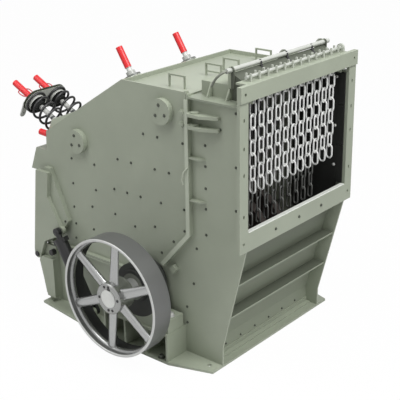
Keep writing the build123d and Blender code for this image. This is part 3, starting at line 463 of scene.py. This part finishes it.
# Chains: round links where the part has flat ones, each curtain from a short first link
link_bar = 0.016
link_length = 0.1388
link_gap = 0.0003
link_turn_points = 7
link_bar_points = 8
rod_radius = 0.014
chain_columns = 11
chain_spacing = 0.1125
# Name, finish, y, height of the rod, links, length of the first link, width of a link
curtains = (
    ("front_chain_links", chain_steel, -1.250, 2.387, 8, 0.082, 0.072),
    ("rear_chain_links", chain_painted_shadow, -1.060, 2.425, 12, 0.105, 0.056))


def link_path(centre, flat, length, width):
    """Long round link in the plane of Z and the flat direction."""
    bend = (width - link_bar) / 2
    straight = length / 2 - width / 2
    path = []
    for end in (1, -1):
        for k in range(link_turn_points):
            angle = pi * k / (link_turn_points - 1)
            rise = (straight + sin(angle) * bend) * end
            path.append(centre + flat * (cos(angle) * bend * end) + Vector((0, 0, rise)))
    return path


for name, material, curtain_y, rod_z, count, first_length, width in curtains:
    chains = Shape()
    for column in range(chain_columns):
        x = (column - (chain_columns - 1) / 2) * chain_spacing
        top_z = rod_z + rod_radius + link_gap + link_bar
        for number in range(count):
            length = link_length if number else first_length
            flat = Vector(along_y if number % 2 else along_x)
            middle = Vector((x, curtain_y, top_z - length / 2))
            path = link_path(middle, flat, length, width)
            chains.tube(path, link_bar / 2, link_bar_points, closed=True)
            top_z -= length - 2 * link_bar - link_gap
    chains.piece(name, material, "frame", "chain", replaced="chain_curtain")

# Coil springs under the yoke, each with a closed coil at its upper end
spring_radius = 0.104
spring_wire = 0.0115
spring_wire_points = 10
spring_turns = 3.5
spring_steps = 32
spring_spacing = 0.260
spring_across = Vector(along_x)
spring_up = spring_direction.cross(spring_across)


def coil_point(foot, rise, step):
    """Middle of the wire at a height along the spring and a step round it."""
    angle = 2 * pi * step / spring_steps
    out = spring_across * cos(angle) + spring_up * sin(angle)
    return foot + spring_direction * rise + out * spring_radius


springs = Shape()
coil_steps = int(spring_turns * spring_steps)
coil_rise = spring_length - 2 * spring_wire
for side in sides:
    foot = spring_foot + spring_across * side * spring_spacing / 2
    springs.tube(
        [coil_point(foot, spring_wire + coil_rise * step / coil_steps, step)
         for step in range(coil_steps + 1)], spring_wire, spring_wire_points)
    springs.tube(
        [coil_point(foot, spring_length - spring_wire, step) for step in range(spring_steps)],
        spring_wire, spring_wire_points, closed=True)
springs.piece("coil_springs", black_paint, "rear_housing", "dark", replaced="rear_springs")

# Wire guards on both sides of each rear cap; the profile gives (distance out, height)
guard_profile = (
    (0.026, 0.165), (0.054, 0.162), (0.068, 0.148), (0.072, 0.120), (0.064, 0.088),
    (0.044, 0.066), (0.026, 0.062))
guard_wire = 0.0055
guard_wire_points = 8
guards = Shape()
for side in sides:
    foot = spring_foot + spring_across * side * spring_spacing / 2 + spring_direction * yoke_top
    for turn in sides:
        path = [
            foot + spring_across * turn * out + spring_direction * rise
            for out, rise in guard_profile]
        guards.tube(path, guard_wire, guard_wire_points)
guards.piece("cap_guards", wire_red, "rear_housing", "red_cap")

# Tongue with a round end, at the outer end of the yoke
tongue_offset = 0.215
tongue_half = 0.030
tongue_reach = 0.150
tongue_thickness = 0.012
tongue_steps = 8
tongue_foot = spring_foot - spring_across * tongue_offset + spring_direction * yoke_top
tongue_outline = [(tongue_half, 0)]
for step in range(tongue_steps + 1):
    angle = pi * step / tongue_steps
    tongue_outline.append((tongue_half * cos(angle), tongue_reach + tongue_half * sin(angle)))
tongue_outline.append((-tongue_half, 0))
tongue = Shape()
tongue.plate(
    [tongue_foot + spring_across * x + spring_up * down for x, down in tongue_outline],
    spring_direction * tongue_thickness)
tongue.piece("yoke_tongue", bright_steel, "rear_housing", "machined")

# Belt pulley: rounded rim with its bead, oval spokes that taper outwards and a bevelled hub
pulley_back_x = pulley_face_x + 0.205
rim_outer = 0.533
rim_inner = 0.509
rim_edge = 0.004
rim_points = 96
shade_sheet_back_x = pulley_back_x - rim_edge
shade_sheet_depth = 0.002
bead_height = 0.022
bead_half = 0.030
bead_steps = 10
hub_radius = 0.140
hub_face_x = pulley_face_x + 0.004
hub_back_x = pulley_face_x + 0.190
hub_bevel = 0.007
hub_bore = 0.079
hub_points = 64
spoke_count = 6
spoke_x = pulley_face_x + 0.070
spoke_turn = 95.5
spoke_points = 20
# Radius, half width and half depth of the sections of a spoke
spoke_sections = (
    (0.125, 0.056, 0.032), (0.155, 0.049, 0.028), (0.300, 0.045, 0.025),
    (0.455, 0.042, 0.024), (0.498, 0.050, 0.029))
rim = Shape()
rim.wheel((
    (pulley_face_x + rim_edge, rim_outer), (pulley_face_x, rim_outer - rim_edge),
    (pulley_face_x, rim_inner + rim_edge), (pulley_face_x + rim_edge, rim_inner),
    (pulley_back_x - rim_edge, rim_inner), (pulley_back_x, rim_inner + rim_edge),
    (pulley_back_x, rim_outer - rim_edge), (pulley_back_x - rim_edge, rim_outer)), rim_points)
rim.piece("pulley_rim", rim_steel, "rotor", "pulley_steel", replaced="pulley")

# Thin dark sheet on the inside of the rim behind the spokes: painted shade
rim_shade_sheet = Shape()
rim_shade_sheet.wheel((
    (spoke_x, rim_inner + overlap), (shade_sheet_back_x, rim_inner + overlap),
    (shade_sheet_back_x, rim_inner - shade_sheet_depth), (spoke_x, rim_inner - shade_sheet_depth)), rim_points)
rim_shade_sheet.piece("rim_painted_shade", rim_painted_shade, "rotor", "pulley_steel", replaced="pulley")

wheel = Shape()
bead_profile = []
for step in range(bead_steps + 1):
    angle = pi * step / bead_steps
    bead_profile.append((
        spoke_x - bead_half * cos(angle),
        rim_inner + overlap - (bead_height + overlap) * sin(angle)))
wheel.wheel(bead_profile, rim_points)
wheel.wheel((
    (hub_face_x, hub_bore), (hub_face_x, hub_radius - hub_bevel),
    (hub_face_x + hub_bevel, hub_radius), (hub_back_x - hub_bevel, hub_radius),
    (hub_back_x, hub_radius - hub_bevel), (hub_back_x, hub_bore)), hub_points)
spoke_middle = Vector((spoke_x, shaft.y, shaft.z))
for number in range(spoke_count):
    angle = radians(spoke_turn + 360 / spoke_count * number)
    out = Vector((0, cos(angle), sin(angle)))
    across = Vector((0, -sin(angle), cos(angle)))
    wheel.rings([
        [spoke_middle + out * radius + across * (half_width * cosine)
         + Vector((half_depth * sine, 0, 0)) for cosine, sine in turns(spoke_points)]
        for radius, half_width, half_depth in spoke_sections])
wheel.piece("pulley_spokes", pulley_steel, "rotor", "pulley_steel", replaced="pulley")

# Black discs in the face of the hub and a black block at its keyway: painted shade in the bolt
# holes and the keyway
hub_hole_circle = 0.108
hub_hole_turns = (67, 92, 174, 247, 272, 354)
hub_hole_profile = ((0.0, 0.0125), (0.0025, 0.0125), (0.0035, 0.0105))
hub_hole_points = 16
keyway_circle = 0.088
keyway_low = Vector((0.0035, 0.015, 0.010))
keyway_high = Vector((overlap, 0.015, 0.010))
hub_hole_shades = Shape()
for turn in hub_hole_turns:
    place = around(shaft, hub_face_x, hub_hole_circle, radians(turn))
    hub_hole_shades.turned(place, (-1, 0, 0), hub_hole_profile, hub_hole_points)
key = around(shaft, hub_face_x, keyway_circle, radians(spoke_turn))
hub_hole_shades.block(key - keyway_low, key + keyway_high)
hub_hole_shades.piece("hub_hole_shades", black_paint, "rotor", "dark")

# Bolts
washer_height = 0.002
washer_share = 1.4
washer_points = 14
head_sides = 6
chamfer_start = 0.8
chamfer_share = 0.82


def bolt(shape, point, normal, radius=0.0088, height=0.008):
    """Hexagon head on a washer."""
    wide = radius * washer_share
    washer = ((0, wide), (washer_height, wide), (washer_height, radius))
    head = ((0, radius), (height * chamfer_start, radius), (height, radius * chamfer_share))
    shape.turned(point, normal, washer, washer_points)
    shape.turned(Vector(point) + Vector(normal) * washer_height, normal, head, head_sides)


# Height of each row on the rear walls: places along Y
rear_bolt_rows = {
    2.095: (-0.668,), 1.945: (-0.668, -0.390, -0.230), 1.655: (-0.510, -0.350, -0.073, 0.088),
    1.542: (0.385, 0.681), 1.365: (-0.670, -0.410, -0.172, -0.011, 0.146),
    1.300: (0.383, 0.681), 1.170: (-0.670,), 1.125: (-0.331, 0.149, 0.442),
    1.066: (-0.093, 0.687), 1.042: (-0.544,), 0.900: (-0.403, 0.440, 0.676),
    0.752: (0.200, 0.560, 0.685)}
# Place along Y of each column on the front walls: heights
front_bolt_columns = {
    -1.220: (2.292, 1.853, 1.487), -1.065: (2.134,),
    -0.908: (1.974, 1.798, 1.608, 1.428, 1.198), -0.802: (1.045,), -0.763: (0.709,),
    -0.683: (0.464, 0.311)}
lift_bolt_place = (0.774, 0.909)
liner_bolt_y = -1.212
liner_bolt_heights = (2.297, 1.853, 1.487)
cap_bolt_circle = 0.058
cap_bolt_turns = (82, 202, 322)
sill_bolt_places = (-0.340, 0.0, 0.340)
sill_bolt_z = 1.232
panel_bolt_places = (-0.530, -0.318, -0.106, 0.106, 0.318, 0.530)
panel_bolt_z = 0.100
anchor_x = 0.960
anchor_places = (-0.570, 0.010)
bearing_bolt_inset = 0.055
bearing_seat_height = 0.120
rear_bolts = Shape()
front_bolts = Shape()
liner_bolts = Shape()
for side in sides:
    for z, row in rear_bolt_rows.items():
        for y in row:
            bolt(rear_bolts, (side * wall_outer, y, z), (side, 0, 0))
    for y, column in front_bolt_columns.items():
        for z in column:
            bolt(front_bolts, (side * wall_outer, y, z), (side, 0, 0))
    bolt(rear_bolts, (side * lift_outer, *lift_bolt_place), (side, 0, 0))
    for z in liner_bolt_heights:
        bolt(liner_bolts, (side * liner_face, liner_bolt_y, z), (-side, 0, 0), radius=0.011)

apron_caps = (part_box("front_apron_shaft"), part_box("rear_apron_shaft"))
for low, high in apron_caps:
    middle = (low + high) / 2
    for face, normal in ((low.x, -1), (high.x, 1)):
        for turn in cap_bolt_turns:
            place = around(middle, face, cap_bolt_circle, radians(turn))
            bolt(rear_bolts, place, (normal, 0, 0), radius=0.0105)

for x in sill_bolt_places:
    bolt(front_bolts, (x, feed_face_y, sill_bolt_z), (0, -1, 0), radius=0.010)
for x in panel_bolt_places:
    bolt(front_bolts, (x, panel_y, panel_bolt_z), (0, -1, 0), radius=0.007)

# Small angle at the foot of the front panel
angle_front_y = -0.998
angle_height = 0.045
angle_thickness = 0.010
angle_section = (
    (angle_front_y, base_top), (panel_y, base_top), (panel_y, base_top + angle_height),
    (panel_y - angle_thickness, base_top + angle_height),
    (panel_y - angle_thickness, base_top + angle_thickness),
    (angle_front_y, base_top + angle_thickness))
foot_angle = Shape()
foot_angle.plate([(-wall_inner, y, z) for y, z in angle_section], (2 * wall_inner, 0, 0))
foot_angle.piece("panel_foot_angle", paint, "frame", "paint")

# Anchor bolts and the bolts of the bearing feet
for side in sides:
    for y in anchor_places:
        bolt(front_bolts, (side * anchor_x, y, base_top), along_z, radius=0.024, height=0.026)
for low, high in (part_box("left_bearing"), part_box("right_bearing")):
    for y in (low.y + bearing_bolt_inset, high.y - bearing_bolt_inset):
        place = ((low.x + high.x) / 2, y, low.z + bearing_seat_height)
        bolt(liner_bolts, place, along_z, radius=0.028, height=0.030)
rear_bolts.piece("rear_bolts", bolt_steel, "rear_housing", "machined")
front_bolts.piece("frame_bolts", bolt_steel, "frame", "machined")
liner_bolts.piece("liner_bolts", bright_steel, "frame", "machined")

# Black caps on the hinge pins, and black lock knobs on the hinge webs
cap_profile = ((0, 0.027), (0.010, 0.027), (0.014, 0.022))
knob_place = (0.968, 0.545)
knob_profile = ((0, 0.030), (0.045, 0.030), (0.052, 0.022))
knob_points = 24
hinge_caps = Shape()
for side in sides:
    hinge_caps.turned(
        (side * leg_outer, hinge.y, hinge.z), (side, 0, 0), cap_profile, knob_points)
    hinge_caps.turned(
        (side * web_outer, *knob_place), (side, 0, 0), knob_profile, knob_points)
hinge_caps.piece("hinge_caps", black_paint, "frame", "dark")

# Guard plates on the hinge brackets, over the gap behind the side walls
guard_outline = ((1.035, 0.600), (1.122, 0.600), (1.122, 0.640), (1.075, 0.646), (1.035, 0.646))
guard_gap = 0.0005
guard_thickness = 0.008
hinge_guards = Shape()
for side in sides:
    hinge_guards.plate(
        [(side * (wall_outer + guard_gap), y, z) for y, z in guard_outline],
        (side * guard_thickness, 0, 0))
hinge_guards.piece("hinge_guards", paint, "frame", "paint")

# Lid rod fittings: three straps, two lifting lugs behind the rod and the crank at its drive end
strap_places = (-0.288, 0.072, 0.436)
strap_half = 0.011
strap_section = (
    (-1.166, 2.5455), (-1.140, 2.5585), (-1.128, 2.580), (-1.126, 2.604), (-1.114, 2.6215),
    (-1.108, 2.6185), (-1.122, 2.600), (-1.124, 2.582), (-1.137, 2.5530), (-1.164, 2.5400))
straps = Shape()
for x in strap_places:
    straps.plate([(x - strap_half, y, z) for y, z in strap_section], (2 * strap_half, 0, 0))
straps.piece("lid_straps", black_paint, "frame", "dark")

# Middle along X and radius of each lug
lug_sizes = ((0.095, 0.064), (0.640, 0.072))
lug_y = -1.072
lug_top_z = 2.625
lug_thickness = 0.014
lug_steps = 12
lugs = Shape()
for x, radius in lug_sizes:
    outline = []
    for step in range(lug_steps + 1):
        angle = pi * step / lug_steps
        outline.append((
            x + radius * cos(angle), lug_y, lug_top_z - radius + radius * sin(angle)))
    outline += [(x - radius, lug_y, box_top_z), (x + radius, lug_y, box_top_z)]
    lugs.plate(outline, (0, lug_thickness, 0))
lugs.piece("lid_lugs", paint_dark, "frame", "paint")

# Places along the crank, from the rod's end
crank_path = (
    (0.010, 0, 0), (-0.022, 0.004, -0.002), (-0.046, 0.020, -0.016), (-0.056, 0.050, -0.045),
    (-0.050, 0.085, -0.085), (-0.044, 0.110, -0.125))
crank_radius = 0.010
crank_points = 12
crank = Shape()
crank.tube(
    [(-lid_rod.x + x, lid_rod.y + y, lid_rod.z + z) for x, y, z in crank_path],
    crank_radius, crank_points)
crank.piece("lid_crank", paint_dark, "frame", "paint")

# Stop lugs under the sloping split
stop_outline = ((-0.560, 0.838), (-0.520, 0.792), (-0.560, 0.758), (-0.600, 0.803))
stop_thickness = 0.040
stops = Shape()
for side in sides:
    stops.plate(
        [(side * wall_outer, y, z) for y, z in stop_outline], (side * stop_thickness, 0, 0))
stops.piece("split_stops", paint, "frame", "paint")

# Wear lip over the bottom bar of the feed mouth
lip_half = 0.712
lip_section = (
    (-1.330, 1.318), (-1.292, 1.318), (-1.282, 1.309), (-1.278, 1.311), (-1.290, 1.324),
    (-1.326, 1.324))
lip = Shape()
lip.plate([(-lip_half, y, z) for y, z in lip_section], (2 * lip_half, 0, 0))
lip.piece("sill_lip", lip_steel, "frame", "machined")

# Cover bars along the outer edge of the split flanges, mitred at the bend
bar_half = 0.018
bar_thickness = 0.008
bar_face = 0.777
bar_top = Vector((0, split_middle_y, 2.335))
bar_bend = Vector((0, split_middle_y, 1.1665))
bar_foot = Vector((0, -0.440, 0.8165))
slant = (bar_foot - bar_bend).normalized()
down_side = Vector(along_y)
slant_side = Vector((0, -slant.z, slant.y))
mitre = (down_side + slant_side) / (1 + down_side.dot(slant_side))
bar_corners = ((bar_top, down_side), (bar_bend, mitre), (bar_foot, slant_side))
bars = Shape()
for side in sides:
    face = Vector((side * bar_face, 0, 0))
    outline = [point + offset * bar_half + face for point, offset in bar_corners]
    outline += [point - offset * bar_half + face for point, offset in reversed(bar_corners)]
    bars.plate(outline, (side * bar_thickness, 0, 0))
# Their pale paint is painted light, a lit copy of the green
bars.piece("split_cover_bars", paint_painted_light, "frame", "paint")

# Wire hooks on the cover bars
hook_path = (
    (0.782, -0.760, 1.772), (0.794, -0.752, 1.760), (0.797, -0.722, 1.720),
    (0.797, -0.707, 1.655), (0.792, -0.714, 1.613))
hook_radius = 0.007
hooks = Shape()
for side in sides:
    hooks.tube([(side * x, y, z) for x, y, z in hook_path], hook_radius)
hooks.piece("bar_hooks", paint_painted_light, "frame", "paint")

# Liner strips between the feed frame and the wear liners, with open seams
strip_front_y = -1.299
strip_back_y = -1.236
strip_heights = ((1.326, 1.677), (1.683, 2.047), (2.053, 2.342))
strips = Shape()
for side in sides:
    near, far = sorted((side * liner_face, side * wall_inner))
    for low, high in strip_heights:
        strips.block((near, strip_front_y, low), (far, strip_back_y, high))
strips.piece("mouth_liners", liner_steel, "frame", "machined")

# Studio lamps
lamp_target = Vector((0, 0, 1.2))


def area_light(name, place, size, power):
    """Large soft lamp aimed at the middle of the object."""
    data = bpy.data.lights.new(name, "AREA")
    data.shape = "DISK"
    data.size = size
    data.energy = power
    lamp = bpy.data.objects.new(name, data)
    lamp.location = place
    lamp.rotation_euler = (lamp_target - Vector(place)).to_track_quat("-Z", "Y").to_euler()
    bpy.context.scene.collection.objects.link(lamp)


area_light("key", (-0.5, -5.8, 8.4), size=4.0, power=600)
area_light("top", (-3.5, 0.5, 9.0), size=5.0, power=295)
area_light("rear", (-7.0, 4.0, 6.0), size=5.0, power=112)

# World: white where it is seen or reflected, and a weak light elsewhere
white = (1, 1, 1, 1)
world_light = 0.18
world = bpy.data.worlds.new("studio")
bpy.context.scene.world = world
world.use_nodes = True
world_tree = world.node_tree
rays = world_tree.nodes.new("ShaderNodeLightPath").outputs
seen = math_node(world_tree, "MAXIMUM", rays["Is Camera Ray"], rays["Is Transmission Ray"])
seen = math_node(world_tree, "MAXIMUM", seen, rays["Is Glossy Ray"])
seen_light = math_node(world_tree, "MULTIPLY", seen, 1 - world_light)
strength = math_node(world_tree, "ADD", seen_light, world_light)
background = world_tree.nodes["Background"]
background.inputs["Color"].default_value = white
world_tree.links.new(strength, background.inputs["Strength"])

# Pale floor, shown nearly white to the camera
floor_half = 40.0
floor_share = 0.98
floor_noise = 0.4
floor_shades = ((drift_low, (0.88, 0.88, 0.88)), (drift_high, (0.92, 0.92, 0.92)))
floor_mesh = bpy.data.meshes.new("floor")
floor_mesh.from_pydata(
    [(x * floor_half, y * floor_half, 0) for x, y in ((-1, -1), (1, -1), (1, 1), (-1, 1))],
    [], [(0, 1, 2, 3)])
floor = bpy.data.objects.new("floor", floor_mesh)
bpy.context.scene.collection.objects.link(floor)
floor_material, floor_tree, floor_shader = new_material("floor", roughness=0.9)
floor_colours = ramp(floor_tree, noise(floor_tree, floor_noise), floor_shades)
floor_tree.links.new(floor_colours, floor_shader.inputs["Base Color"])
floor_rays = floor_tree.nodes.new("ShaderNodeLightPath").outputs
floor_glow = floor_tree.nodes.new("ShaderNodeEmission")
floor_glow.inputs["Color"].default_value = white
floor_mix = floor_tree.nodes.new("ShaderNodeMixShader")
floor_seen = math_node(floor_tree, "MULTIPLY", floor_rays["Is Camera Ray"], floor_share)
floor_tree.links.new(floor_seen, floor_mix.inputs["Fac"])
floor_tree.links.new(floor_shader.outputs[0], floor_mix.inputs[1])
floor_tree.links.new(floor_glow.outputs[0], floor_mix.inputs[2])
floor_tree.links.new(
    floor_mix.outputs[0], floor_tree.nodes["Material Output"].inputs["Surface"])
floor_mesh.materials.append(floor_material)

# Camera, as in the photograph
image_width = 400
sensor_width = 36
focal_length_px = 963.52
camera_yaw = radians(49.82)
camera_pitch = radians(21.15)
camera_roll = radians(-0.875)
camera_place = Vector((-6.3635, -5.5973, 4.3440))
camera_data = bpy.data.cameras.new("camera")
camera_data.sensor_width = sensor_width
camera_data.lens = focal_length_px / image_width * sensor_width
forward = Vector((
    sin(camera_yaw) * cos(camera_pitch), cos(camera_yaw) * cos(camera_pitch), -sin(camera_pitch)))
right = Vector((cos(camera_yaw), -sin(camera_yaw), 0))
up = right.cross(forward)
rolled_right = right * cos(camera_roll) + up * sin(camera_roll)
rolled_up = up * cos(camera_roll) - right * sin(camera_roll)
camera_turn = Matrix((rolled_right, rolled_up, -forward)).transposed()
camera = bpy.data.objects.new("camera", camera_data)
camera.matrix_world = Matrix.Translation(camera_place) @ camera_turn.to_4x4()
bpy.context.scene.collection.objects.link(camera)
bpy.context.scene.camera = camera
bpy.context.scene.view_settings.view_transform = "Standard"
